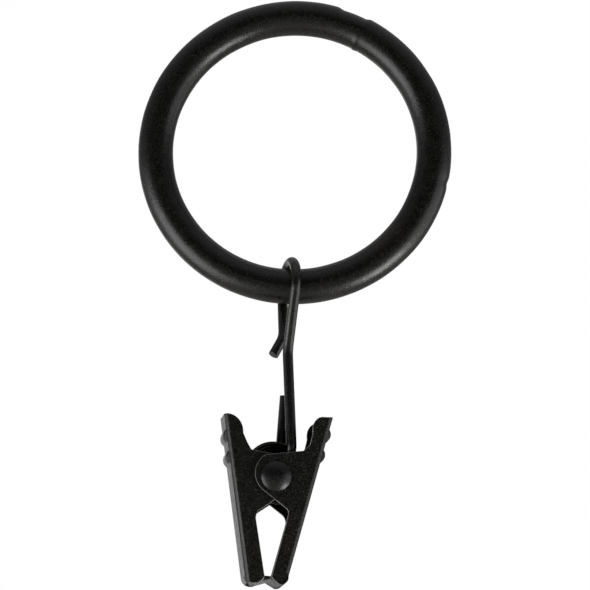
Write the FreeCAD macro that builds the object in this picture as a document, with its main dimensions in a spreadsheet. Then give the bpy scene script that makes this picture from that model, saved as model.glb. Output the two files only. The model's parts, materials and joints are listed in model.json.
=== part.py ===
import FreeCAD, Part
import Sketcher
import math
import os

from FreeCAD import Placement, Rotation, Vector

# Curtain ring with a hanging spring clip: a round-section ring, a bent wire hook over its lowest
# point, and a two-jaw pressed steel clip that hangs by its torsion spring from the hook's lower bend.
# Origin at the centre of the ring's hole, ring in the XZ plane, rod along Y, front towards -Y.

# Driving sizes, in millimetres and degrees
SIZES = {
    # ring
    "ring_bore": 38.0,
    "ring_thick": 5.5,
    # hook wire
    "hook_thick": 1.6,
    "hook_play": 0.3,
    "hook_turn": 17.3,
    "hook_side": 0.2,
    "hook_reach": 27.25,
    "bend_drop": 10.4,
    "bend_depth": 0.9,
    "bend_round": 6.0,
    "bight_shift": 0.73,
    "bight_skew": 0.27,
    "bight_flat": 0.05,
    "tail_drop": 7.6,
    "tail_depth": 1.9,
    "tail_round": 2.4,
    "tail_flick": 3.55,
    "tail_splay": 27.0,
    "tail_hook": 0.35,
    "rise_height": 10.0,
    "rise_depth": 1.3,
    # torsion spring
    "coil_gap": 0.12,
    "coil_front_gap": 0.2,
    "coil_wire": 0.58,
    "coil_turns": 4,
    "coil_pitch": 0.6,
    "coil_turn": 12.0,
    "coil_tip": 5.0,
    "coil_right": 0.15,
    "coil_up": 0.7,
    "coil_play": 0.15,
    "hang_play": 0.6,
    "hang_slant": 33.0,
    "spring_rise": 6.1,
    "leg_play": 0.12,
    # clip jaws
    "clip_turn": 7.8,
    "clip_pitch": 4.3,
    "clip_deep": 8.8,
    "sheet": 0.55,
    "jaw_play": 0.05,
    "fold_round": 0.8,
    "tab_round": 2.7,
    "tab_swell": 2.65,
    "notch_out": 3.95,
    "notch_slope": 1.0,
    "ear_round": 3.35,
    "ear_right": 0.1,
    "ear_up": 0.5,
    "ear_over": 125.0,
    "ear_under": 238.0,
    "leg_corner": 0.9,
    "toe_drop": 16.4,
    "toe_round": 1.1,
    "lip_up": 1.25,
    "lip_gap": 0.02,
    "heel_wide": 0.7,
    "heel_inset": 0.1,
    "rib_count": 2,
    "rib_first": 2.7,
    "rib_pitch": 3.2,
    "rib_round": 1.0,
    "rib_height": 0.45,
    "rib_root": 0.1,
    "rib_short": 0.85,
    # what differs from one jaw to the other
    "outer_out": 6.16,
    "outer_lean": 12.4,
    "outer_tab": 9.65,
    "outer_waist": 5.5,
    "outer_neck": 1.0,
    "outer_notch_up": 4.2,
    "outer_shoulder": 5.35,
    "outer_leg": 2.1,
    "outer_foot": 2.1,
    "inner_out": 6.69,
    "inner_lean": 10.6,
    "inner_tab": 9.05,
    "inner_waist": 5.35,
    "inner_neck": 0.65,
    "inner_notch_up": 3.95,
    "inner_shoulder": 5.6,
    "inner_leg": 2.8,
    "inner_foot": 3.0,
    # rivet
    "shank_thick": 2.4,
    "shank_play": 0.05,
    "head_wide": 4.65,
    "head_high": 1.0,
    "head_rim": 0.25,
    "clinch_wide": 3.9,
    "clinch_high": 0.6,
    "hollow_wide": 1.5,
    "hollow_deep": 1.8,
}

doc = FreeCAD.newDocument("curtain_ring_with_clip")


def make_sheet():
    sheet = doc.addObject("Spreadsheet::Sheet", "sizes")
    for row, (name, value) in enumerate(SIZES.items(), start=1):
        sheet.set(f"A{row}", name)
        sheet.set(f"B{row}", str(value))
        sheet.setAlias(f"B{row}", name)
    doc.recompute()
    return sheet


sizes = make_sheet()


def size(name):
    return float(sizes.get(name))


def turned(angle):
    return Rotation(Vector(0, 0, 1), angle)


def lean(jaw):
    """Slope of a jaw's spine, outwards for each millimetre up."""
    return math.tan(math.radians(size(jaw + "_lean")))


def spine_x(jaw, z):
    """Outer face of a jaw's spine at height z above the rivet."""
    return size(jaw + "_out") + lean(jaw) * z


def skin(jaw):
    """The sheet of a jaw's leaning spine, measured level."""
    return size("sheet") / math.cos(math.radians(size(jaw + "_lean")))


# Places shared by several pieces, all worked out from the driving sizes
ring_centre_line = (size("ring_bore") + size("ring_thick")) / 2
hook_radius = size("hook_thick") / 2
loop_radius = size("ring_thick") / 2 + size("hook_play") + hook_radius
coil_deep = (size("coil_turns") + 0.5) * size("coil_pitch") + size("coil_wire")
bight_radius = coil_deep / 2 + size("coil_play") + hook_radius
bight_z = -ring_centre_line - size("hook_reach")
bight_side = size("hook_side") + size("bight_shift")
coil_askew = math.radians(size("coil_turn"))
coil_side = spine_x("outer", size("coil_up")) - skin("outer") - size("coil_right")
coil_room = coil_side / math.hypot(1, lean("outer"))
coil_reach = coil_room - size("coil_gap") - coil_deep / 2 * math.sin(coil_askew)
coil_radius = coil_reach - size("coil_wire") / 2
channel_half = size("clip_deep") / 2 - 2 * size("sheet") - size("jaw_play")
coil_half = coil_deep / 2 * math.cos(coil_askew) + coil_reach * math.sin(coil_askew)
coil_y = coil_half + size("coil_front_gap") - channel_half
hang_drop = coil_radius - size("coil_wire") / 2 - hook_radius - size("hang_play")

bight = turned(size("hook_turn")).multVec(Vector(bight_side, 0, bight_z))
slant = math.radians(size("hang_slant"))
coil_centre = Vector(size("coil_right"), coil_y, size("coil_up"))
coil_set = turned(size("coil_turn")).multiply(Rotation(Vector(1, 0, 0), 90 - size("coil_tip")))
hang = coil_set.multVec(Vector(hang_drop * math.sin(slant), hang_drop * math.cos(slant), 0))
clip_set = turned(size("clip_turn")).multiply(Rotation(Vector(1, 0, 0), size("clip_pitch")))
rivet_place = bight - clip_set.multVec(coil_centre + hang)
clip_placement = Placement(rivet_place, clip_set)


def tangent_point(centre, radius, point, side):
    """Where a line from point touches the circle; both lie in one plane as (u, v) pairs."""
    du, dv = point[0] - centre[0], point[1] - centre[1]
    reach = math.hypot(du, dv)
    angle = math.atan2(dv, du) + side * math.acos(radius / reach)
    return centre[0] + radius * math.cos(angle), centre[1] + radius * math.sin(angle)


def turn_radius(before, corner, after, cut):
    """Radius of the arc that leaves both runs at the given distance from their corner."""
    back = (before - corner).normalize()
    ahead = (after - corner).normalize()
    return cut * math.tan(math.acos(back.dot(ahead)) / 2)


def bent_line(points, radii):
    """Straight runs through the points, with a tangent arc of the given radius at each inner point."""
    edges = []
    start = points[0]
    for before, corner, after, radius in zip(points, points[1:], points[2:], radii):
        back = (before - corner).normalize()
        ahead = (after - corner).normalize()
        half = math.acos(max(-1.0, min(1.0, back.dot(ahead)))) / 2
        cut = radius / math.tan(half)
        middle = corner + (back + ahead).normalize() * (radius / math.sin(half) - radius)
        edges.append(Part.LineSegment(start, corner + back * cut).toShape())
        edges.append(Part.Arc(corner + back * cut, middle, corner + ahead * cut).toShape())
        start = corner + ahead * cut
    edges.append(Part.LineSegment(start, points[-1]).toShape())
    return edges


def origin_plane(body, role):
    return next(f for f in body.Origin.OriginFeatures if f.Role == role)


def new_body(label, placement=None):
    body = doc.addObject("PartDesign::Body", label)
    body.Label = label
    if placement is not None:
        body.Placement = placement
    return body


def new_sketch(body, name, role):
    sketch = body.newObject("Sketcher::SketchObject", name)
    sketch.AttachmentSupport = (origin_plane(body, role), [""])
    sketch.MapMode = "FlatFace"
    return sketch


def draw(sketch, shapes):
    """Adds lines and arcs given as point lists: two points make a line, three an arc through them."""
    for points in shapes:
        corners = [Vector(u, v, 0) for u, v in points]
        if len(corners) == 2:
            sketch.addGeometry(Part.LineSegment(*corners), False)
        else:
            sketch.addGeometry(Part.Arc(*corners), False)


def draw_polygon(sketch, corners):
    draw(sketch, [pair for pair in zip(corners, corners[1:] + corners[:1])])


def draw_circle(sketch, centre, radius_formula):
    """A circle whose radius follows the sheet."""
    index = sketch.addGeometry(Part.Circle(Vector(*centre, 0), Vector(0, 0, 1), 1.0), False)
    sketch.addConstraint(Sketcher.Constraint("Radius", index, 1.0))
    sketch.setExpression(f"Constraints[{sketch.ConstraintCount - 1}]", radius_formula)


def make_ring():
    """One round bar bent to a circle and welded, so its section is turned about the rod's axis."""
    body = new_body("ring")
    section = new_sketch(body, "ring_section", "XY_Plane")
    draw_circle(section, (ring_centre_line, 0), "sizes.ring_thick / 2")
    turn = body.newObject("PartDesign::Revolution", "ring_turn")
    turn.Profile = section
    turn.ReferenceAxis = (section, ["V_Axis"])
    turn.Angle = 360
    section.Visibility = False
    return body


def sweep_wire(label, path_edges, formula, placement):
    """A round wire of the sheet's thickness swept along a path of tangent runs and arcs."""
    path = doc.addObject("Part::Feature", label + "_path")
    path.Shape = Part.Wire(Part.__sortEdges__(path_edges))
    start = path.Shape.OrderedEdges[0]
    section = doc.addObject("Part::Circle", label + "_section")
    section.setExpression("Radius", formula)
    heading = start.tangentAt(start.FirstParameter)
    section.Placement = Placement(path.Shape.OrderedVertexes[0].Point, Rotation(Vector(0, 0, 1), heading))
    sweep = doc.addObject("Part::Sweep", label)
    sweep.Label = label
    sweep.Sections = [section]
    sweep.Spine = (path, [f"Edge{n + 1}" for n in range(len(path.Shape.Edges))])
    sweep.Solid = True
    sweep.Frenet = False
    sweep.Transition = "Transformed"
    sweep.Placement = placement
    return sweep


def make_hook():
    """Loop over the ring, stem down to the bight that passes through the spring's coil."""
    side = size("hook_side")
    centre = (0.0, -ring_centre_line)
    bend = (-size("bend_depth"), -ring_centre_line - size("bend_drop"))
    kink = (size("tail_depth"), -ring_centre_line - size("tail_drop"))
    front = tangent_point(centre, loop_radius, bend, -1)
    back = tangent_point(centre, loop_radius, kink, 1)
    splay = math.radians(size("tail_splay"))
    flick = size("tail_flick")
    tail_x = side - flick * math.sin(splay)
    tail_end = Vector(tail_x, kink[0] - size("tail_hook"), kink[1] - flick * math.cos(splay))
    upper_tail = [tail_end, Vector(side, *kink), Vector(side, *back)]
    loop = Part.Arc(Vector(side, *back), Vector(side, 0, centre[1] + loop_radius), Vector(side, *front))
    rise_z = bight_z + size("rise_height")
    skew = size("bight_skew")
    stem = [
        Vector(side, *front),
        Vector(side, *bend),
        Vector(bight_side + skew, -bight_radius, bight_z),
        Vector(bight_side - skew, bight_radius, bight_z),
        Vector(bight_side - skew, size("rise_depth"), rise_z),
    ]
    cut = math.hypot(bight_radius, skew) - size("bight_flat")
    turns = [turn_radius(*stem[1:4], cut), turn_radius(*stem[2:5], cut)]
    edges = bent_line(upper_tail, [size("tail_round")])
    edges.append(loop.toShape())
    edges += bent_line(stem, [size("bend_round"), *turns])
    return sweep_wire("hook", edges, "sizes.hook_thick / 2", Placement(Vector(), turned(size("hook_turn"))))


def coil_arcs(first, turns, height):
    """The coil as half-turn arcs, each leaning by half the pitch, which meet without a kink."""
    count = round(2 * turns)
    points = []
    for step in range(2 * count + 1):
        share = step / (2 * count)
        angle = math.radians(first + 360 * turns * share)
        points.append(Vector(coil_radius * math.cos(angle), coil_radius * math.sin(angle), height * (share - 0.5)))
    return [Part.Arc(*three).toShape() for three in zip(points[::2], points[1::2], points[2::2])]


def make_spring():
    """Close-wound torsion spring whose two straight ends press the thumb tabs apart."""
    centre = (0.0, 0.0)
    seat_z = size("spring_rise")
    reach = {}
    for jaw, hand in (("inner", -1), ("outer", 1)):
        wire_room = size("coil_wire") / 2 + size("leg_play") + coil_deep / 2 * math.sin(coil_askew)
        seat_x = spine_x(jaw, seat_z) - skin(jaw) - wire_room
        reach[jaw] = (hand * seat_x - size("coil_right")) / math.cos(coil_askew)
    left_end = (reach["inner"], seat_z - size("coil_up"))
    right_end = (reach["outer"], seat_z - size("coil_up"))
    left = tangent_point(centre, coil_radius, left_end, 1)
    right = tangent_point(centre, coil_radius, right_end, -1)
    first = math.degrees(math.atan2(left[1], left[0])) % 360
    last = math.degrees(math.atan2(right[1], right[0])) % 360
    turns = size("coil_turns") + (last - first) / 360
    height = turns * size("coil_pitch")
    edges = coil_arcs(first, turns, height)
    edges.insert(0, Part.LineSegment(Vector(*left_end, -height / 2), Vector(*left, -height / 2)).toShape())
    edges.append(Part.LineSegment(Vector(*right, height / 2), Vector(*right_end, height / 2)).toShape())
    placement = clip_placement.multiply(Placement(coil_centre, coil_set))
    return sweep_wire("spring", edges, "sizes.coil_wire / 2", placement)


def jaw_outline(jaw):
    """Side view of a jaw as if its spine were on the right, as lines and arcs in (x, z)."""
    toe = -size("toe_drop")
    toe_round = size("toe_round")
    tab = size(jaw + "_tab")
    notch = (size("notch_out"), size(jaw + "_notch_up"))
    neck = (notch[0] + size(jaw + "_neck"), notch[1] + size("notch_slope"))
    tab_round = size("tab_round")
    waist = (size(jaw + "_waist"), tab - size("tab_swell"))
    tab_centre = (waist[0] + tab_round, waist[1])
    tab_middle = (tab_centre[0] - tab_round * math.sqrt(0.5), tab_centre[1] + tab_round * math.sqrt(0.5))
    tab_top = (tab_centre[0], tab_centre[1] + tab_round)
    spine_top = (spine_x(jaw, tab), tab)
    spine_foot_z = toe + toe_round
    spine_foot = (spine_x(jaw, spine_foot_z), spine_foot_z)
    leg_foot = (spine_foot[0] - size(jaw + "_foot"), spine_foot_z)
    toe_low = ((spine_foot[0] + leg_foot[0]) / 2, toe)
    corner_z = -size(jaw + "_shoulder") - size("leg_corner")
    leg_top = (spine_x(jaw, corner_z) - size(jaw + "_leg"), corner_z)
    ear_round = size("ear_round")
    ear = (size("ear_right"), size("ear_up"))
    under_angle = math.radians(size("ear_under"))
    ear_under = (ear[0] + ear_round * math.cos(under_angle), ear[1] + ear_round * math.sin(under_angle))
    ear_side = (ear[0] - ear_round, ear[1])
    shoulder = (leg_top[0], -size(jaw + "_shoulder"))
    run = math.dist(shoulder, ear_under)
    share = size("leg_corner") / run
    shoulder_end = tuple(s + share * (e - s) for s, e in zip(shoulder, ear_under))
    shoulder_mid = tuple((a + 2 * s + b) / 4 for a, s, b in zip(leg_top, shoulder, shoulder_end))
    over_angle = math.radians(size("ear_over"))
    ear_over = (ear[0] + ear_round * math.cos(over_angle), ear[1] + ear_round * math.sin(over_angle))
    return [
        [notch, neck],
        [neck, waist],
        [waist, tab_middle, tab_top],
        [tab_top, spine_top],
        [spine_top, spine_foot],
        [spine_foot, toe_low, leg_foot],
        [leg_foot, leg_top],
        [leg_top, shoulder_mid, shoulder_end],
        [shoulder_end, ear_under],
        [ear_under, ear_side, ear_over],
        [ear_over, notch],
    ]


def on_spine(jaw, height, along, out):
    """A point of the side view, measured from the spine's outer face at the given height."""
    tilt = math.radians(size(jaw + "_lean"))
    u = spine_x(jaw, height) + along * math.sin(tilt) + out * math.cos(tilt)
    return u, height + along * math.cos(tilt) - out * math.sin(tilt)


def rib_shapes(jaw, half, inset):
    """The pressed thumb ribs in the side view, as bows standing on the sheet at the given inset."""
    shapes = []
    for number in range(int(size("rib_count"))):
        height = size("rib_first") + number * size("rib_pitch")
        low = on_spine(jaw, height, -half, -inset)
        high = on_spine(jaw, height, half, -inset)
        crown = on_spine(jaw, height, 0, size("rib_height") - inset)
        low_root = on_spine(jaw, height, -half, -inset - size("rib_root"))
        high_root = on_spine(jaw, height, half, -inset - size("rib_root"))
        shapes += [[low, crown, high], [high, high_root], [high_root, low_root], [low_root, low]]
    return shapes


def mirrored(shapes, hand):
    return [[(hand * u, v) for u, v in points] for points in shapes]


def pad(body, sketch, name, formula):
    feature = body.newObject("PartDesign::Pad", name)
    feature.Profile = sketch
    feature.Midplane = True
    feature.setExpression("Length", formula)
    sketch.Visibility = False
    return feature


def pocket(body, sketch, name, formula):
    feature = body.newObject("PartDesign::Pocket", name)
    feature.Profile = sketch
    feature.Midplane = True
    feature.setExpression("Length", formula)
    sketch.Visibility = False
    return feature


def spine_edges(shape, jaw, hand):
    """Names of the long edges where the spine folds into the two sides."""
    names = []
    for number, edge in enumerate(shape.Edges, start=1):
        ends = [v.Point for v in edge.Vertexes]
        on_face = all(abs(hand * p.x - spine_x(jaw, p.z)) < 0.01 for p in ends)
        if len(ends) == 2 and on_face and abs(ends[0].y - ends[1].y) < 0.01:
            names.append(f"Edge{number}")
    return names


def make_jaw(jaw, hand, deep):
    """A pressed jaw: both sides, the folded spine between them, the gripping lip and the thumb ribs."""
    label = jaw + "_jaw"
    body = new_body(label, clip_placement)
    inside = f"({deep}) - 2 * sizes.sheet"
    outline = new_sketch(body, label + "_outline", "XZ_Plane")
    draw(outline, mirrored(jaw_outline(jaw), hand))
    pad(body, outline, label + "_blank", deep)

    far = 2 * size("toe_drop")
    hollow = new_sketch(body, label + "_hollow", "XZ_Plane")
    wall = skin(jaw)
    corners = [(spine_x(jaw, far) - wall, far), (-far, far), (-far, -far), (spine_x(jaw, -far) - wall, -far)]
    draw_polygon(hollow, [(hand * u, v) for u, v in corners])
    pocket(body, hollow, label + "_channel", inside)

    lip = new_sketch(body, label + "_lip", "XZ_Plane")
    top = -size("toe_drop") + size("lip_up")
    lip_low = top - size("sheet")
    heel_z = -size("toe_drop") + size("heel_inset")
    heel = spine_x(jaw, heel_z) - size(jaw + "_foot") / 2
    corners = [
        (size("lip_gap"), top),
        (size("lip_gap"), lip_low),
        (heel - size("heel_wide") / 2, heel_z),
        (heel + size("heel_wide") / 2, heel_z),
        (spine_x(jaw, top) - size("sheet") / 2, top),
    ]
    draw_polygon(lip, [(hand * u, v) for u, v in corners])
    pad(body, lip, label + "_toe", inside)

    hole = new_sketch(body, label + "_hole", "XZ_Plane")
    draw_circle(hole, (0, 0), "sizes.shank_thick / 2 + sizes.shank_play")
    pocket(body, hole, label + "_rivet_hole", f"2 * ({deep})")

    doc.recompute()
    base = body.Tip
    corners = spine_edges(base.Shape, jaw, hand)
    fold = body.newObject("PartDesign::Fillet", label + "_fold")
    fold.Base = (base, corners)
    fold.setExpression("Radius", "sizes.fold_round")

    across = f"({deep}) - 2 * sizes.rib_short"
    ridge = new_sketch(body, label + "_ribs", "XZ_Plane")
    draw(ridge, mirrored(rib_shapes(jaw, size("rib_round"), 0.0), hand))
    pad(body, ridge, label + "_rib_ridges", across)
    groove = new_sketch(body, label + "_grooves", "XZ_Plane")
    draw(groove, mirrored(rib_shapes(jaw, size("rib_round") - size("sheet") / 2, size("sheet")), hand))
    pocket(body, groove, label + "_rib_grooves", across)
    return body


def make_rivet():
    """Domed head in front, shank through both jaws, hollow end rolled over behind."""
    body = new_body("rivet", clip_placement)
    sketch = new_sketch(body, "rivet_section", "XY_Plane")
    shank = size("shank_thick") / 2
    head = size("head_wide") / 2
    front = -size("clip_deep") / 2
    back = size("clip_deep") / 2
    dome = front - size("head_high")
    rim = front - size("head_rim")
    clinch = size("clinch_wide") / 2
    hollow = size("hollow_wide") / 2
    end = back + size("clinch_high")
    rise = size("head_high") - size("head_rim")
    bow = (head * head + rise * rise) / (2 * rise)
    mid = head / 2
    dome_mid = (mid, dome + bow - math.sqrt(bow * bow - mid * mid))
    roll = (clinch - hollow) / 2
    shapes = [
        [(0, dome), dome_mid, (head, rim)],
        [(head, rim), (head, front)],
        [(head, front), (shank, front)],
        [(shank, front), (shank, back)],
        [(shank, back), (clinch, back)],
        [(clinch, back), (hollow + roll, end), (hollow, back)],
        [(hollow, back), (hollow, back - size("hollow_deep"))],
        [(hollow, back - size("hollow_deep")), (0, back - size("hollow_deep") - hollow)],
        [(0, back - size("hollow_deep") - hollow), (0, dome)],
    ]
    draw(sketch, shapes)
    turn = body.newObject("PartDesign::Revolution", "rivet_turn")
    turn.Profile = sketch
    turn.ReferenceAxis = (sketch, ["V_Axis"])
    turn.Angle = 360
    sketch.Visibility = False
    return body


outer_deep = "sizes.clip_deep"
inner_deep = "sizes.clip_deep - 2 * (sizes.sheet + sizes.jaw_play)"
parts = [
    make_ring(),
    make_hook(),
    make_spring(),
    make_jaw("outer", 1, outer_deep),
    make_jaw("inner", -1, inner_deep),
    make_rivet(),
]
doc.recompute()

for item in doc.Objects:
    if "Invalid" in item.State or "Error" in item.State:
        raise RuntimeError(f"{item.Label} failed: {item.State}")
os.makedirs("parts", exist_ok=True)
for item in parts:
    if item.Shape.isNull() or not item.Shape.isValid():
        raise RuntimeError(f"{item.Label} has no valid shape")
    print(item.Label, len(item.Shape.Solids), round(item.Shape.Volume, 3), item.Shape.BoundBox)
for item in parts:
    item.Shape.exportStep(f"parts/{item.Label}.step")
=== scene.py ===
import json
import math

import bmesh
import bpy
from mathutils import Matrix, Vector, noise


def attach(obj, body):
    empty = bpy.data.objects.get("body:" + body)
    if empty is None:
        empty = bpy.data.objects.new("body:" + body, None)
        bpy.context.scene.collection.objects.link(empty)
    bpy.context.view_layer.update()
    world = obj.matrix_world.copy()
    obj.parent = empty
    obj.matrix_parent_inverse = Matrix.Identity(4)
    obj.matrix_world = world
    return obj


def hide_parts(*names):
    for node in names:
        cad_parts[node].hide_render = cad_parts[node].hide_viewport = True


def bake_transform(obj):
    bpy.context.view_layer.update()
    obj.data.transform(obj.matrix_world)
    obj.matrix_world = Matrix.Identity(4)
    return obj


# Curtain ring with a hanging spring clip. Metres, origin at the centre of the ring's hole,
# the rod runs along Y, the front looks towards -Y and the clip hangs towards -Z.

mm = 0.001
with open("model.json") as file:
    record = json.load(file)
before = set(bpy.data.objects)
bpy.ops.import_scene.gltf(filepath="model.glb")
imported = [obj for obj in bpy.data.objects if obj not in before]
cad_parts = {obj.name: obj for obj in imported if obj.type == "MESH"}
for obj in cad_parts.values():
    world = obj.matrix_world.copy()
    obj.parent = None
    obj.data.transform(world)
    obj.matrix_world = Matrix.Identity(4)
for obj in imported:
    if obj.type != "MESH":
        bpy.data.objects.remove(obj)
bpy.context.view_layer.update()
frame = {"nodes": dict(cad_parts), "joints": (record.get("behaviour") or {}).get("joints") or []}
joints = {joint["name"]: joint for joint in frame["joints"]}
print("frame loaded:", ", ".join(sorted(frame["nodes"])))


# Helpers for the materials

def linear(hexColour):  # an sRGB hex value as a linear colour
    parts = [int(hexColour[at:at + 2], 16) / 255 for at in (1, 3, 5)]
    return [part / 12.92 if part <= 0.04045 else ((part + 0.055) / 1.055) ** 2.4 for part in parts] + [1.0]


def addNode(tree, kind, settings=None, values=None, links=None):
    node = tree.nodes.new(kind)
    for name, value in (settings or {}).items():
        setattr(node, name, value)
    for name, value in (values or {}).items():
        node.inputs[name].default_value = value
    for name, socket in (links or {}).items():
        tree.links.new(socket, node.inputs[name])
    return node


def newMaterial(name):
    material = bpy.data.materials.new(name)
    material.use_nodes = True
    tree = material.node_tree
    tree.nodes.clear()
    return material, tree


def rustAndSheenMask(tree, place, spot):  # 1 inside a marked spot, broken up by the grain, 0 away from it: worn spots, and at the jaw toes a painted reflection
    away = addNode(tree, "ShaderNodeVectorMath", {"operation": "DISTANCE"}, {1: spot["at"]}, {0: place})
    patches = addNode(tree, "ShaderNodeTexNoise", None, {"Scale": 1 / (spot["patch"] * mm), "Detail": 3.0},
                      {"Vector": place})
    near = addNode(tree, "ShaderNodeMapRange", None,
                   {"From Min": spot["wide"] * mm, "From Max": 0.0, "To Min": 0.0, "To Max": 1.0},
                   {"Value": away.outputs["Value"]})
    broken = addNode(tree, "ShaderNodeMapRange", None, {"From Min": 0.48, "From Max": 0.62},
                     {"Value": patches.outputs["Fac"]})
    both = addNode(tree, "ShaderNodeMath", {"operation": "MULTIPLY"}, None,
                   {0: near.outputs["Result"], 1: broken.outputs["Result"]})
    return addNode(tree, "ShaderNodeMath", {"operation": "MULTIPLY"}, {1: spot["strong"]},
                   {0: both.outputs["Value"]}).outputs["Value"]


def satinLacquer(name, look):
    # Stoved black lacquer on steel: a thin sprayed film that dries to a fine orange peel with dust in it,
    # so highlights are broad and break up into grains. Worn spots let brown primer and rust through; the light
    # grey spots at the jaw toes are a painted reflection instead.
    material, tree = newMaterial(name)
    place = addNode(tree, "ShaderNodeTexCoord").outputs["Object"]
    grain = addNode(tree, "ShaderNodeTexNoise", None,
                    {"Scale": 1 / (look["grain"] * mm), "Detail": 2.0, "Roughness": 0.6}, {"Vector": place})
    cloud = addNode(tree, "ShaderNodeTexNoise", None, {"Scale": 1 / (look["cloud"] * mm), "Detail": 3.0},
                    {"Vector": place})
    colour = addNode(tree, "ShaderNodeMix", {"data_type": "RGBA"},
                     {"A": linear(look["dark"]), "B": linear(look["light"])},
                     {"Factor": cloud.outputs["Fac"]}).outputs["Result"]
    dust = addNode(tree, "ShaderNodeMapRange", None, {"From Min": 0.53, "From Max": 0.68},
                   {"Value": grain.outputs["Fac"]})
    colour = addNode(tree, "ShaderNodeMix", {"data_type": "RGBA"}, {"B": linear(look["speck"])},
                     {"Factor": dust.outputs["Result"], "A": colour}).outputs["Result"]
    for spot in look["rustAndSheenSpots"]:
        colour = addNode(tree, "ShaderNodeMix", {"data_type": "RGBA"}, {"B": linear(spot["colour"])},
                         {"Factor": rustAndSheenMask(tree, place, spot), "A": colour}).outputs["Result"]
    gloss = addNode(tree, "ShaderNodeMapRange", None,
                    {"From Min": 0.3, "From Max": 0.7, "To Min": look["rough"] - look["roughSpread"],
                     "To Max": look["rough"] + look["roughSpread"]}, {"Value": cloud.outputs["Fac"]})
    ripple = addNode(tree, "ShaderNodeBump", None, {"Strength": 1.0, "Distance": look["ripple"] * mm},
                     {"Height": cloud.outputs["Fac"]})
    peel = addNode(tree, "ShaderNodeBump", None, {"Strength": 1.0, "Distance": look["peel"] * mm},
                   {"Height": grain.outputs["Fac"], "Normal": ripple.outputs["Normal"]})
    shader = addNode(tree, "ShaderNodeBsdfPrincipled", None,
                     {"Metallic": 0.0, "IOR": look["ior"], "Coat Weight": 0.0},
                     {"Base Color": colour, "Roughness": gloss.outputs["Result"],
                      "Normal": peel.outputs["Normal"]})
    addNode(tree, "ShaderNodeOutputMaterial", None, None, {"Surface": shader.outputs["BSDF"]})
    return material


def springWireSteel(name, look):
    # Patented spring wire, drawn and then oil-dipped: dark and metallic, with faint stains and a fine grain.
    material, tree = newMaterial(name)
    place = addNode(tree, "ShaderNodeTexCoord").outputs["Object"]
    stain = addNode(tree, "ShaderNodeTexNoise", None, {"Scale": 1 / (look["stain"] * mm), "Detail": 4.0},
                    {"Vector": place})
    grain = addNode(tree, "ShaderNodeTexNoise", None, {"Scale": 1 / (look["grain"] * mm), "Detail": 2.0},
                    {"Vector": place})
    colour = addNode(tree, "ShaderNodeMix", {"data_type": "RGBA"},
                     {"A": linear(look["dark"]), "B": linear(look["light"])},
                     {"Factor": stain.outputs["Fac"]})
    peel = addNode(tree, "ShaderNodeBump", None, {"Strength": 1.0, "Distance": look["peel"] * mm},
                   {"Height": grain.outputs["Fac"]})
    shader = addNode(tree, "ShaderNodeBsdfPrincipled", None, {"Metallic": 1.0, "Roughness": look["rough"]},
                     {"Base Color": colour.outputs["Result"], "Normal": peel.outputs["Normal"]})
    addNode(tree, "ShaderNodeOutputMaterial", None, None, {"Surface": shader.outputs["BSDF"]})
    return material


# Helpers for the meshes

def edgesAmong(items):
    return [item for item in items if isinstance(item, bmesh.types.BMEdge)]


def cornersAmong(items):
    return [item for item in items if isinstance(item, bmesh.types.BMVert)]


def finishPiece(bm, name, node, body, materials):  # a piece without a body is left unattached
    mesh = bpy.data.meshes.new(name)
    bm.to_mesh(mesh)
    bm.free()
    piece = bpy.data.objects.new(name, mesh)
    bpy.context.scene.collection.objects.link(piece)
    for material in materials:
        mesh.materials.append(material)
    if body:
        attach(piece, body)
    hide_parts(node)
    return piece


def wireStart(bm, place, heading, radius, sides):  # the rim that a wire grows from
    turn = Vector((0, 0, 1)).rotation_difference(heading).to_matrix().to_4x4()
    made = bmesh.ops.create_circle(bm, cap_ends=False, radius=radius, segments=sides,
                                   matrix=Matrix.Translation(place) @ turn)
    return list({edge for corner in made["verts"] for edge in corner.link_edges})


def growRun(bm, rim, move):  # a straight run
    grown = bmesh.ops.extrude_edge_only(bm, edges=rim)["geom"]
    corners = cornersAmong(grown)
    bmesh.ops.translate(bm, verts=corners, vec=move)
    there = set(corners)
    return [edge for edge in edgesAmong(grown) if edge.verts[0] in there and edge.verts[1] in there]


def growTurn(bm, rim, centre, axis, angle, steps, climb=(0, 0, 0)):  # an arc, or a helix if it climbs
    corners = list({corner for edge in rim for corner in edge.verts})
    spun = bmesh.ops.spin(bm, geom=corners + rim, cent=centre, axis=axis, dvec=Vector(climb) / steps,
                          angle=angle, steps=steps, use_merge=False, use_duplicate=False)
    return edgesAmong(spun["geom_last"])


def bendStep(turn):  # steps that keep a bend smooth to the eye
    return max(4, round(turn / math.radians(3)))


def growBends(bm, rim, at, points, radii):  # runs from at through the points, with a bend at each inner one
    for corner, after, bend in zip(points, points[1:], radii):
        ahead = (corner - at).normalized()
        onward = (after - corner).normalized()
        turn = ahead.angle(onward)
        cut = bend * math.tan(turn / 2)
        start = corner - ahead * cut
        axis = ahead.cross(onward).normalized()
        rim = growRun(bm, rim, start - at)
        rim = growTurn(bm, rim, start + axis.cross(ahead) * bend, axis, turn, bendStep(turn))
        at = corner + onward * cut
    return growRun(bm, rim, points[-1] - at)


def capWire(bm, rims, width, joined=()):  # the cropped ends, with a small burr-free edge where nothing joins
    caps = []
    for rim in [*rims, *joined]:
        caps += bmesh.ops.edgeloop_fill(bm, edges=rim)["faces"]
    bmesh.ops.recalc_face_normals(bm, faces=bm.faces)
    for face in bm.faces:
        face.smooth = face not in caps
    bmesh.ops.bevel(bm, geom=list({edge for rim in rims for edge in rim}), offset=width, offset_type="OFFSET",
                    affect="EDGES", segments=3, profile=0.5, material=-1)


def soften(value, low, high):  # 0 below low, 1 above high, smooth between
    share = min(1.0, max(0.0, (value - low) / (high - low)))
    return share * share * (3 - 2 * share)


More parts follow.
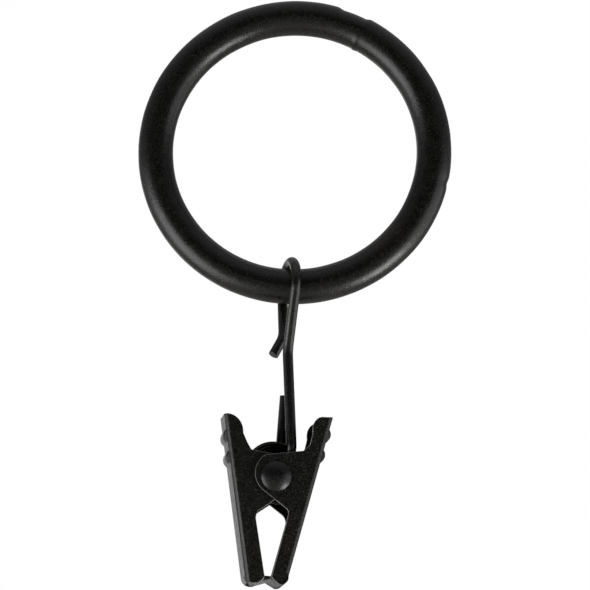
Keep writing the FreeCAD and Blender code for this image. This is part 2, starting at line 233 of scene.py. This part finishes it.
def tangentAngle(radius, point, side):  # where a line from the point touches the circle, as an angle
    return math.atan2(point[1], point[0]) + side * math.acos(radius / math.hypot(*point))


# The ring: round bar bent to a circle, butt-welded at the upper right and dressed by hand

ring = {
    "bore": 38.0 * mm,
    "bar": 5.5 * mm,
    "stepsRound": 720,
    "sides": 64,
    "weldFrom": 64.0,  # degrees, anticlockwise from the right
    "weldTo": 75.0,
    "weldDressed": 0.3 * mm,
    "weldBead": 0.13 * mm,
    "dentAt": -10.0,
    "dentDeep": 0.14 * mm,
    "uneven": 0.035 * mm,
    "unevenOver": 4.0 * mm,
}
ringLook = {
    "dark": "#040404", "light": "#090807", "speck": "#242321",
    "grain": 0.2, "cloud": 1.1, "rough": 0.27, "roughSpread": 0.05,
    "ripple": 0.02, "peel": 0.03, "ior": 1.38,
    "rustAndSheenSpots": [{"at": (13.8 * mm, -2.4 * mm, -12.4 * mm), "wide": 4.2, "patch": 0.5, "strong": 0.75,
              "colour": "#3a2413"}],
}


def makeRing():
    centreLine = (ring["bore"] + ring["bar"]) / 2
    thick = ring["bar"] / 2
    bm = bmesh.new()
    made = bmesh.ops.create_circle(bm, cap_ends=False, radius=thick, segments=ring["sides"],
                                   matrix=Matrix.Translation((centreLine, 0, 0)))
    rim = list({edge for corner in made["verts"] for edge in corner.link_edges})
    bmesh.ops.spin(bm, geom=made["verts"] + rim, cent=(0, 0, 0), axis=(0, 1, 0), angle=2 * math.pi,
                   steps=ring["stepsRound"], use_merge=True, use_duplicate=False)
    bmesh.ops.recalc_face_normals(bm, faces=bm.faces)
    for corner in bm.verts:
        outward = Vector((corner.co.x, 0, corner.co.z)).normalized()
        fromCore = (corner.co - outward * centreLine).normalized()
        side = fromCore.dot(outward)  # 1 on the outside of the ring, -1 in its hole
        angle = math.degrees(math.atan2(corner.co.z, corner.co.x))
        dressed = soften(angle, ring["weldFrom"] - 1, ring["weldFrom"] + 1) \
            * (1 - soften(angle, ring["weldTo"] - 1.5, ring["weldTo"] + 1.5)) * max(0.0, side)
        bead = math.exp(-((angle - ring["weldFrom"]) / 1.1) ** 2) * max(0.0, -side)
        dent = math.exp(-((angle - ring["dentAt"]) / 1.6) ** 2) * max(0.0, side) ** 3
        wave = noise.noise(corner.co / ring["unevenOver"]) - 0.6
        corner.co += fromCore * (wave * ring["uneven"] - dent * ring["dentDeep"]) \
            + outward * (-dressed * ring["weldDressed"] - bead * ring["weldBead"])
    for face in bm.faces:
        face.smooth = True
    finishPiece(bm, "ringBar", "ring", "ring", [satinLacquer("stovedRingLacquer", ringLook)])


makeRing()
print("ring made")


# The hook: one wire, looped over the ring and bent up again through the spring's coil

hook = {
    "wire": 1.6 * mm,
    "play": 0.3 * mm,
    "turn": 17.3,  # degrees about the vertical
    "side": 0.2 * mm,
    "bend": (-0.9 * mm, -10.4 * mm),  # along Y, and up from the bar's centre line
    "bendRound": 6.0 * mm,
    "kink": (1.9 * mm, -7.6 * mm),
    "kinkRound": 4.0 * mm,
    "tailLong": 3.55 * mm,
    "tailSplay": 27.0,
    "tailHook": 0.35 * mm,
    "bightSide": 1.0 * mm,
    "bightSkew": 0.27 * mm,
    "bightHalf": 2.59 * mm,
    "bightFlat": 0.05 * mm,
    "bightSag": 0.4 * mm,
    "riseHigh": 10.65 * mm,
    "riseDeep": 1.3 * mm,
    "endEdge": 0.1 * mm,
    "sides": 40,
}
hookLook = {
    "dark": "#040404", "light": "#0a0908", "speck": "#1e1c19",
    "grain": 0.17, "cloud": 0.8, "rough": 0.25, "roughSpread": 0.05,
    "ripple": 0.012, "peel": 0.016, "ior": 1.52,
    "rustAndSheenSpots": [{"at": (-1.2 * mm, -3.2 * mm, -20.5 * mm), "wide": 2.4, "patch": 0.35, "strong": 0.8,
              "colour": "#4a2f18"}],
}


def makeHook():
    core = -(ring["bore"] + ring["bar"]) / 2
    thick = hook["wire"] / 2
    loop = ring["bar"] / 2 + hook["play"] + thick
    front = tangentAngle(loop, hook["bend"], -1)
    back = tangentAngle(loop, hook["kink"], 1)
    side = hook["side"]
    splay = math.radians(hook["tailSplay"])
    kink = Vector((side, hook["kink"][0], core + hook["kink"][1]))
    tailLong = hook["tailLong"]
    tail = kink - Vector((tailLong * math.sin(splay), hook["tailHook"], tailLong * math.cos(splay)))
    loopBack = Vector((side, loop * math.cos(back), core + loop * math.sin(back)))
    loopFront = Vector((side, loop * math.cos(front), core + loop * math.sin(front)))
    bightDown = joints["clip_swing"]["pos_m"][2] - hook["bightSag"]
    bend = Vector((side, hook["bend"][0], core + hook["bend"][1]))
    stemFoot = Vector((hook["bightSide"] + hook["bightSkew"], -hook["bightHalf"], bightDown))
    riseFoot = Vector((hook["bightSide"] - hook["bightSkew"], hook["bightHalf"], bightDown))
    riseTop = Vector((riseFoot.x, hook["riseDeep"], bightDown + hook["riseHigh"]))
    cut = (riseFoot - stemFoot).length / 2 - hook["bightFlat"]
    turns = []
    for before, corner, after in ((bend, stemFoot, riseFoot), (stemFoot, riseFoot, riseTop)):
        turns.append(cut / math.tan((corner - before).angle(after - corner) / 2))

    bm = bmesh.new()
    first = wireStart(bm, tail, (kink - tail).normalized(), thick, hook["sides"])
    rim = growBends(bm, first, tail, [kink, loopBack], [hook["kinkRound"]])
    over = (front - back) % (2 * math.pi)
    rim = growTurn(bm, rim, (side, 0, core), (1, 0, 0), over, bendStep(over))
    last = growBends(bm, rim, loopFront, [bend, stemFoot, riseFoot, riseTop], [hook["bendRound"], *turns])
    capWire(bm, [first, last], hook["endEdge"])
    bmesh.ops.rotate(bm, verts=bm.verts, cent=(0, 0, 0),
                     matrix=Matrix.Rotation(math.radians(hook["turn"]), 3, "Z"))
    finishPiece(bm, "hookWire", "hook", "hook", [satinLacquer("stovedWireLacquer", hookLook)])


makeHook()
print("hook made")


# The clip's own directions: across, along the rivet, and up the jaws

rivetPlace = Vector(joints["jaw_open"]["pos_m"])
rivetAxis = Vector(joints["jaw_open"]["axis"]).normalized()
clipAcross = rivetAxis.cross(Vector((0, 0, 1))).normalized()
clipUp = clipAcross.cross(rivetAxis)
clipFrame = Matrix.Translation(rivetPlace) @ Matrix((clipAcross, rivetAxis, clipUp)).transposed().to_4x4()


# The torsion spring: a close-wound coil with two straight ends that press the thumb tabs apart

spring = {
    "wire": 0.58 * mm,
    "frontRadius": 4.719 * mm,  # the windings narrow towards the rear
    "rearRadius": 3.75 * mm,
    "frontSlip": (-0.4 * mm, 0.2 * mm),  # across and up
    "rearSlip": (0.7 * mm, -0.25 * mm),
    "coilAt": (0.15 * mm, -0.4044 * mm, 0.7 * mm),
    "coilTurn": 12.0,  # degrees about the clip's upward line
    "coilTip": 5.0,
    "turns": 4,
    "pitch": 0.6 * mm,
    "endsUp": 5.4 * mm,
    "leftEnd": 6.82 * mm,
    "rightEnd": 6.172 * mm,
    "endEdge": 0.05 * mm,
    "sides": 20,
    "legSteps": 24,
    "legBendsTo": 0.85,  # share of the left end that would bend when the inner jaw opens
}
springLook = {"dark": "#201e1c", "light": "#3a3733", "grain": 0.1, "stain": 0.9, "peel": 0.003, "rough": 0.3}


def makeSpring():
    left = (-spring["leftEnd"] - spring["rearSlip"][0], spring["endsUp"])
    right = (spring["rightEnd"] - spring["frontSlip"][0], spring["endsUp"])
    first = tangentAngle(spring["rearRadius"], left, 1)
    last = tangentAngle(spring["frontRadius"], right, -1)
    over = 2 * math.pi * spring["turns"] + last % (2 * math.pi) - first % (2 * math.pi)
    climb = spring["pitch"] * over / (2 * math.pi)
    outward = Vector((math.cos(first), math.sin(first), 0))
    coilStart = outward * spring["rearRadius"] - Vector((0, 0, climb / 2))
    coilEnd = Vector((math.cos(last), math.sin(last), 0)) * spring["frontRadius"] + Vector((0, 0, climb / 2))
    legStart = Vector((*left, -climb / 2))
    leg = coilStart - legStart
    slipped = Matrix.Identity(4)
    for row in (0, 1):
        slipped[row][2] = (spring["frontSlip"][row] - spring["rearSlip"][row]) / climb
        slipped[row][3] = (spring["frontSlip"][row] + spring["rearSlip"][row]) / 2
    upright = Matrix.Rotation(math.radians(spring["coilTurn"]), 4, "Z") \
        @ Matrix.Rotation(math.radians(90 - spring["coilTip"]), 4, "X")
    place = clipFrame @ Matrix.Translation(spring["coilAt"]) @ upright @ slipped
    steel = springWireSteel("oiledSpringWire", springLook)

    bm = bmesh.new()
    firstRim = wireStart(bm, coilStart, leg.normalized(), spring["wire"] / 2, spring["sides"])
    widen = outward * (spring["frontRadius"] - spring["rearRadius"])
    rim = growTurn(bm, firstRim, (0, 0, 0), (0, 0, 1), over, bendStep(over), widen + Vector((0, 0, climb)))
    lastRim = growRun(bm, rim, Vector((*right, climb / 2)) - coilEnd)
    capWire(bm, [lastRim], spring["endEdge"], [firstRim])
    bmesh.ops.transform(bm, matrix=place, verts=bm.verts)
    finishPiece(bm, "springCoil", "spring", "clip", [steel])

    bm = bmesh.new()
    tipRim = wireStart(bm, legStart, leg.normalized(), spring["wire"] / 2, spring["sides"])
    rim = tipRim
    for step in range(spring["legSteps"]):
        rim = growRun(bm, rim, leg / spring["legSteps"])
    capWire(bm, [tipRim], spring["endEdge"], [rim])
    bmesh.ops.transform(bm, matrix=place, verts=bm.verts)
    end = finishPiece(bm, "springEnd", "spring", None, [steel])
    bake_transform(end)


makeSpring()
print("spring made")


# The rivet: domed head in front, hollow end rolled over behind

rivet = {
    "shank": 1.2 * mm,
    "head": 2.325 * mm,
    "headHigh": 1.0 * mm,
    "headRim": 0.25 * mm,
    "clinch": 1.95 * mm,
    "clinchHigh": 0.6 * mm,
    "hollow": 0.75 * mm,
    "hollowDeep": 1.8 * mm,
    "halfDeep": 4.4 * mm,
    "stepsRound": 72,
    "arcSteps": 10,
    "merge": 0.001 * mm,
    "edge": 0.06 * mm,
    "sharpOver": 40.0,  # degrees
}
rivetLook = {
    "dark": "#040404", "light": "#0a0a0a", "speck": "#1e1e1d",
    "grain": 0.18, "cloud": 0.7, "rough": 0.28, "roughSpread": 0.05,
    "ripple": 0.015, "peel": 0.02, "ior": 1.38, "rustAndSheenSpots": [],
}


def rivetProfile():  # from the middle of the head, round the outside, into the hollow end
    front = -rivet["halfDeep"]
    back = rivet["halfDeep"]
    rise = rivet["headHigh"] - rivet["headRim"]
    bow = (rivet["head"] ** 2 + rise ** 2) / (2 * rise)
    reach = math.asin(rivet["head"] / bow)
    middle = front - rivet["headHigh"] + bow
    points = []
    for step in range(rivet["arcSteps"] + 1):
        angle = reach * step / rivet["arcSteps"]
        points.append((bow * math.sin(angle), middle - bow * math.cos(angle)))
    points += [(rivet["head"], front), (rivet["shank"], front), (rivet["shank"], back), (rivet["clinch"], back)]
    roll = (rivet["clinch"] - rivet["hollow"]) / 2
    for step in range(1, rivet["arcSteps"]):
        angle = math.pi * step / rivet["arcSteps"]
        out = rivet["hollow"] + roll + roll * math.cos(angle)
        points.append((out, back + rivet["clinchHigh"] * math.sin(angle)))
    floor = back - rivet["hollowDeep"]
    return points + [(rivet["hollow"], back), (rivet["hollow"], floor), (0, floor - rivet["hollow"])]


def makeRivet():
    bm = bmesh.new()
    corners = [bm.verts.new((out, along, 0)) for out, along in rivetProfile()]
    line = [bm.edges.new(pair) for pair in zip(corners, corners[1:])]
    bmesh.ops.spin(bm, geom=corners + line, cent=(0, 0, 0), axis=(0, 1, 0), angle=2 * math.pi,
                   steps=rivet["stepsRound"], use_merge=True, use_duplicate=False)
    bmesh.ops.remove_doubles(bm, verts=bm.verts, dist=rivet["merge"])
    bmesh.ops.recalc_face_normals(bm, faces=bm.faces)
    corner = math.radians(rivet["sharpOver"])
    sharp = [edge for edge in bm.edges if edge.is_manifold and edge.calc_face_angle() > corner]
    for face in bm.faces:
        face.smooth = True
    bmesh.ops.bevel(bm, geom=sharp, offset=rivet["edge"], offset_type="OFFSET", affect="EDGES", segments=2,
                    profile=0.5, material=-1, clamp_overlap=True)
    bmesh.ops.transform(bm, matrix=clipFrame, verts=bm.verts)
    lacquer = satinLacquer("stovedRivetLacquer", rivetLook)
    finishPiece(bm, "rivetDomed", "rivet", "clip", [lacquer])


makeRivet()
print("rivet made")


# The two jaws: pressed sheet, with blanked edges painted light as a highlight along their rounding, where the
# lacquer is also thin

jaws = {
    "merge": 0.015 * mm,
    "flatWithin": 0.6,  # degrees
    "edge": 0.06 * mm,
    "sharpOver": 60.0,  # degrees
    "skin": 0.7 * mm,
    "ribsFrom": 1.5 * mm,  # up from the rivet
    "ribsTo": 7.2 * mm,
    "tabFrom": 4.8 * mm,
    "tabTo": 9.5 * mm,
    "toeTop": -14.2 * mm,
    "toeWide": 1.3 * mm,
    "legTop": -4.6 * mm,
    "legFull": -6.2 * mm,
    "legFoot": -15.0 * mm,
    "legEnd": -16.4 * mm,
}
outerJaw = {
    "hand": 1,
    "out": 6.16 * mm,
    "lean": 12.4,  # degrees
    "ribsUp": 0.95 * mm,
    "tabIn": 1.0 * mm,
    "tabUp": 0.0,
    "legWider": 0.55 * mm,  # the front one
}
innerJaw = {
    "hand": -1,
    "out": 6.69 * mm,
    "lean": 10.6,
    "ribsUp": 0.0,
    "tabIn": 0.15 * mm,
    "tabUp": 0.2 * mm,
    "legWider": 0.0,
}
jawLook = {
    "dark": "#030303", "light": "#080706", "speck": "#302f2d",
    "grain": 0.2, "cloud": 0.9, "rough": 0.33, "roughSpread": 0.06,
    "ripple": 0.02, "peel": 0.035, "ior": 1.34,
    "rustAndSheenSpots": [
        {"at": (1.8 * mm, -3.4 * mm, -59.2 * mm),
         "wide": 1.9, "patch": 0.4, "strong": 0.3, "colour": "#34190d"},
        {"at": (1.9 * mm, -3.1 * mm, -63.0 * mm),
         "wide": 1.9, "patch": 0.4, "strong": 0.3, "colour": "#34190d"},
        {"at": (-1.9 * mm, -3.7 * mm, -63.0 * mm),
         "wide": 1.7, "patch": 0.4, "strong": 0.3, "colour": "#34190d"},
        # the two light grey spots at the toes are a painted reflection of light from below on their undersides
        {"at": (-2.6 * mm, 0.4 * mm, -69.6 * mm),
         "wide": 3.4, "patch": 0.9, "strong": 1.0, "colour": "#808284"},
        {"at": (0.9 * mm, 0.6 * mm, -69.6 * mm),
         "wide": 3.4, "patch": 0.9, "strong": 1.0, "colour": "#808284"},
    ],
}
# the blanked edges' light colour is a painted highlight along their rounded edge, as well as thinner lacquer
edgeHighlightLook = {
    "dark": "#3c3b3a", "light": "#6c6b69", "speck": "#7c7b79",
    "grain": 0.15, "cloud": 0.4, "rough": 0.3, "roughSpread": 0.06,
    "ripple": 0.005, "peel": 0.005, "ior": 1.6, "rustAndSheenSpots": [],
}


def bendJaw(bm, jaw):  # ribs, tabs and front leg as the press and the fingers left them
    away = clipFrame.inverted()
    slope = math.tan(math.radians(jaw["lean"]))
    along = Vector((jaw["hand"] * slope, 0, 1)).normalized()
    for corner in bm.verts:
        at = away @ corner.co
        inward = jaw["out"] + slope * at.z - jaw["hand"] * at.x
        share = min(1.0, max(0.0, (at.z - jaws["tabFrom"]) / (jaws["tabTo"] - jaws["tabFrom"])))
        if inward < jaws["skin"] and jaws["ribsFrom"] < at.z < jaws["ribsTo"]:
            at += along * jaw["ribsUp"]
        elif inward > jaws["skin"]:
            at.x -= jaw["hand"] * jaw["tabIn"] * share ** 2
        at += along * jaw["tabUp"] * share ** 2
        if at.y < 0 and inward > jaws["skin"] and jaw["hand"] * at.x > jaws["skin"] * 0.8:
            leg = soften(-at.z, -jaws["legTop"], -jaws["legFull"])
            leg *= 1 - soften(-at.z, -jaws["legFoot"], -jaws["legEnd"])
            at.x -= jaw["hand"] * jaw["legWider"] * leg
        corner.co = clipFrame @ at


def markBlanked(bm, jaw):  # the cut edges of the sheet, but not the pressed ribs
    away = clipFrame.inverted()
    slope = math.tan(math.radians(jaw["lean"]))
    cut = bm.edges.layers.float.new("bevel_weight_edge")
    for edge in bm.edges:
        middle = away @ ((edge.verts[0].co + edge.verts[1].co) / 2)
        inward = jaw["out"] + slope * middle.z - jaw["hand"] * middle.x
        ribs = inward < jaws["skin"] and jaws["ribsFrom"] < middle.z < jaws["ribsTo"] + jaw["ribsUp"]
        toe = inward < jaws["toeWide"] and middle.z < jaws["toeTop"]
        if ribs or toe or not edge.is_manifold:
            continue
        if edge.calc_face_angle() > math.radians(jaws["sharpOver"]):
            edge[cut] = 1.0


def makeJaw(node, body, name, jaw, materials):
    bm = bmesh.new()
    bm.from_mesh(frame["nodes"][node].data)
    bmesh.ops.remove_doubles(bm, verts=bm.verts, dist=jaws["merge"])
    bmesh.ops.dissolve_limit(bm, angle_limit=math.radians(jaws["flatWithin"]), verts=bm.verts, edges=bm.edges)
    bendJaw(bm, jaw)
    markBlanked(bm, jaw)
    for face in bm.faces:
        face.smooth = True
        face.material_index = 0
    piece = finishPiece(bm, name, node, body, materials)
    bevel = piece.modifiers.new("blankedEdges", "BEVEL")
    bevel.width = jaws["edge"]
    bevel.segments = 2
    bevel.limit_method = "WEIGHT"
    bevel.use_clamp_overlap = False
    bevel.material = 1
    flat = piece.modifiers.new("flatSheet", "WEIGHTED_NORMAL")
    flat.keep_sharp = True


jawMaterials = [satinLacquer("stovedSheetLacquer", jawLook), satinLacquer("paintedEdgeHighlight", edgeHighlightLook)]
makeJaw("outer_jaw", "clip", "outerJaw", outerJaw, jawMaterials)
makeJaw("inner_jaw", "jaw", "innerJaw", innerJaw, jawMaterials)
print("jaws made")


# The floor, the light and the camera

studio = {
    "floorDown": 0.36,
    "floorWide": 8.0,
    "floorColour": "#e6e4e0",
    "lookAlong": (0.036, 0.971, 0.234),
    "behind": 1.0,  # brightness of the screen behind the part
    "screenFrom": 0.93,
    "screenTo": 0.99,
    "front": 0.05,
    "side": 0.26,
    "sideFrom": -0.9,
    "sideTo": 0.1,
    "above": 0.55,
    "aboveFrom": 0.25,
    "aboveTo": 1.0,
}
softboxes = [
    {"towards": (-0.80, -0.375, -0.46), "away": 0.42, "wide": 0.36, "high": 0.36, "watts": 1.7},
    {"towards": (-0.93, -0.10, -0.36), "away": 0.55, "wide": 0.7, "high": 0.6, "watts": 0.9},
    {"towards": (0.70, -0.19, -0.69), "away": 0.42, "wide": 0.22, "high": 0.22, "watts": 1.7},
    {"towards": (0.92, -0.12, -0.36), "away": 0.55, "wide": 0.7, "high": 0.7, "watts": 2.2},
    {"towards": (-0.42, 0.90, 0.02), "away": 0.5, "wide": 0.26, "high": 0.4, "watts": 0.16},
]
photo = {
    "azimuth": 2.103,
    "elevation": -13.544,
    "roll": 2.8,
    "wide": 590,  # pixels
    "focal": 4283.0,  # pixels
    "originAt": (294.724, 151.586),  # where the ring's centre shows, in pixels
    "away": 0.66964,
}


def makeStudio():
    bpy.ops.mesh.primitive_plane_add(size=studio["floorWide"], location=(0, 0, -studio["floorDown"]))
    floor = bpy.context.object
    floor.name = "studioFloor"
    material, tree = newMaterial("paleFloor")
    shader = addNode(tree, "ShaderNodeBsdfPrincipled", None,
                     {"Base Color": linear(studio["floorColour"]), "Roughness": 0.9})
    addNode(tree, "ShaderNodeOutputMaterial", None, None, {"Surface": shader.outputs["BSDF"]})
    floor.data.materials.append(material)

    world = bpy.data.worlds.new("studioWalls")
    world.use_nodes = True
    tree = world.node_tree
    tree.nodes.clear()
    look = addNode(tree, "ShaderNodeTexCoord").outputs["Generated"]
    ahead = addNode(tree, "ShaderNodeVectorMath", {"operation": "DOT_PRODUCT"}, {1: studio["lookAlong"]},
                    {0: look}).outputs["Value"]
    upward = addNode(tree, "ShaderNodeSeparateXYZ", None, None, {"Vector": look}).outputs["Z"]
    walls = addNode(tree, "ShaderNodeMapRange", {"interpolation_type": "SMOOTHSTEP"},
                    {"From Min": studio["sideFrom"], "From Max": studio["sideTo"],
                     "To Min": studio["front"], "To Max": studio["side"]}, {"Value": ahead})
    ceiling = addNode(tree, "ShaderNodeMapRange", {"interpolation_type": "SMOOTHSTEP"},
                      {"From Min": studio["aboveFrom"], "From Max": studio["aboveTo"],
                       "To Min": 0.0, "To Max": studio["above"]}, {"Value": upward})
    screen = addNode(tree, "ShaderNodeMapRange", {"interpolation_type": "SMOOTHSTEP"},
                     {"From Min": studio["screenFrom"], "From Max": studio["screenTo"],
                      "To Min": 0.0, "To Max": studio["behind"]}, {"Value": ahead})
    room = addNode(tree, "ShaderNodeMath", {"operation": "MAXIMUM"}, None,
                   {0: walls.outputs["Result"], 1: ceiling.outputs["Result"]})
    bright = addNode(tree, "ShaderNodeMath", {"operation": "MAXIMUM"}, None,
                     {0: room.outputs["Value"], 1: screen.outputs["Result"]})
    glow = addNode(tree, "ShaderNodeBackground", None, {"Color": (1, 1, 1, 1)},
                   {"Strength": bright.outputs["Value"]})
    addNode(tree, "ShaderNodeOutputWorld", None, None, {"Surface": glow.outputs["Background"]})
    bpy.context.scene.world = world

    middle = Vector((0, 0, -22 * mm))
    for number, box in enumerate(softboxes):
        data = bpy.data.lights.new("softbox%d" % number, "AREA")
        data.shape = "RECTANGLE"
        data.size = box["wide"]
        data.size_y = box["high"]
        data.energy = box["watts"]
        light = bpy.data.objects.new("softbox%d" % number, data)
        bpy.context.scene.collection.objects.link(light)
        towards = Vector(box["towards"]).normalized()
        light.location = middle + towards * box["away"]
        light.rotation_mode = "QUATERNION"
        light.rotation_quaternion = towards.to_track_quat("Z", "Y")


def makeCamera():
    azimuth, elevation = math.radians(photo["azimuth"]), math.radians(photo["elevation"])
    back = Vector((math.sin(azimuth) * math.cos(elevation), -math.cos(azimuth) * math.cos(elevation),
                   math.sin(elevation)))
    level = (-back).cross(Vector((0, 0, 1))).normalized()
    plumb = level.cross(-back)
    roll = math.radians(photo["roll"])
    right = level * math.cos(roll) + plumb * math.sin(roll)
    up = plumb * math.cos(roll) - level * math.sin(roll)
    half = photo["wide"] / 2
    ray = -back + right * (photo["originAt"][0] - half) / photo["focal"] \
        - up * (photo["originAt"][1] - half) / photo["focal"]
    data = bpy.data.cameras.new("photoCamera")
    data.sensor_width = 36.0
    data.lens = 36.0 * photo["focal"] / photo["wide"]
    data.clip_start = 0.05
    data.clip_end = 20.0
    camera = bpy.data.objects.new("photoCamera", data)
    camera.matrix_world = Matrix.Translation(-ray.normalized() * photo["away"]) \
        @ Matrix((right, up, back)).transposed().to_4x4()
    bpy.context.scene.collection.objects.link(camera)
    bpy.context.scene.camera = camera


makeStudio()
makeCamera()
bpy.context.scene.view_settings.view_transform = "Standard"
print("studio made")
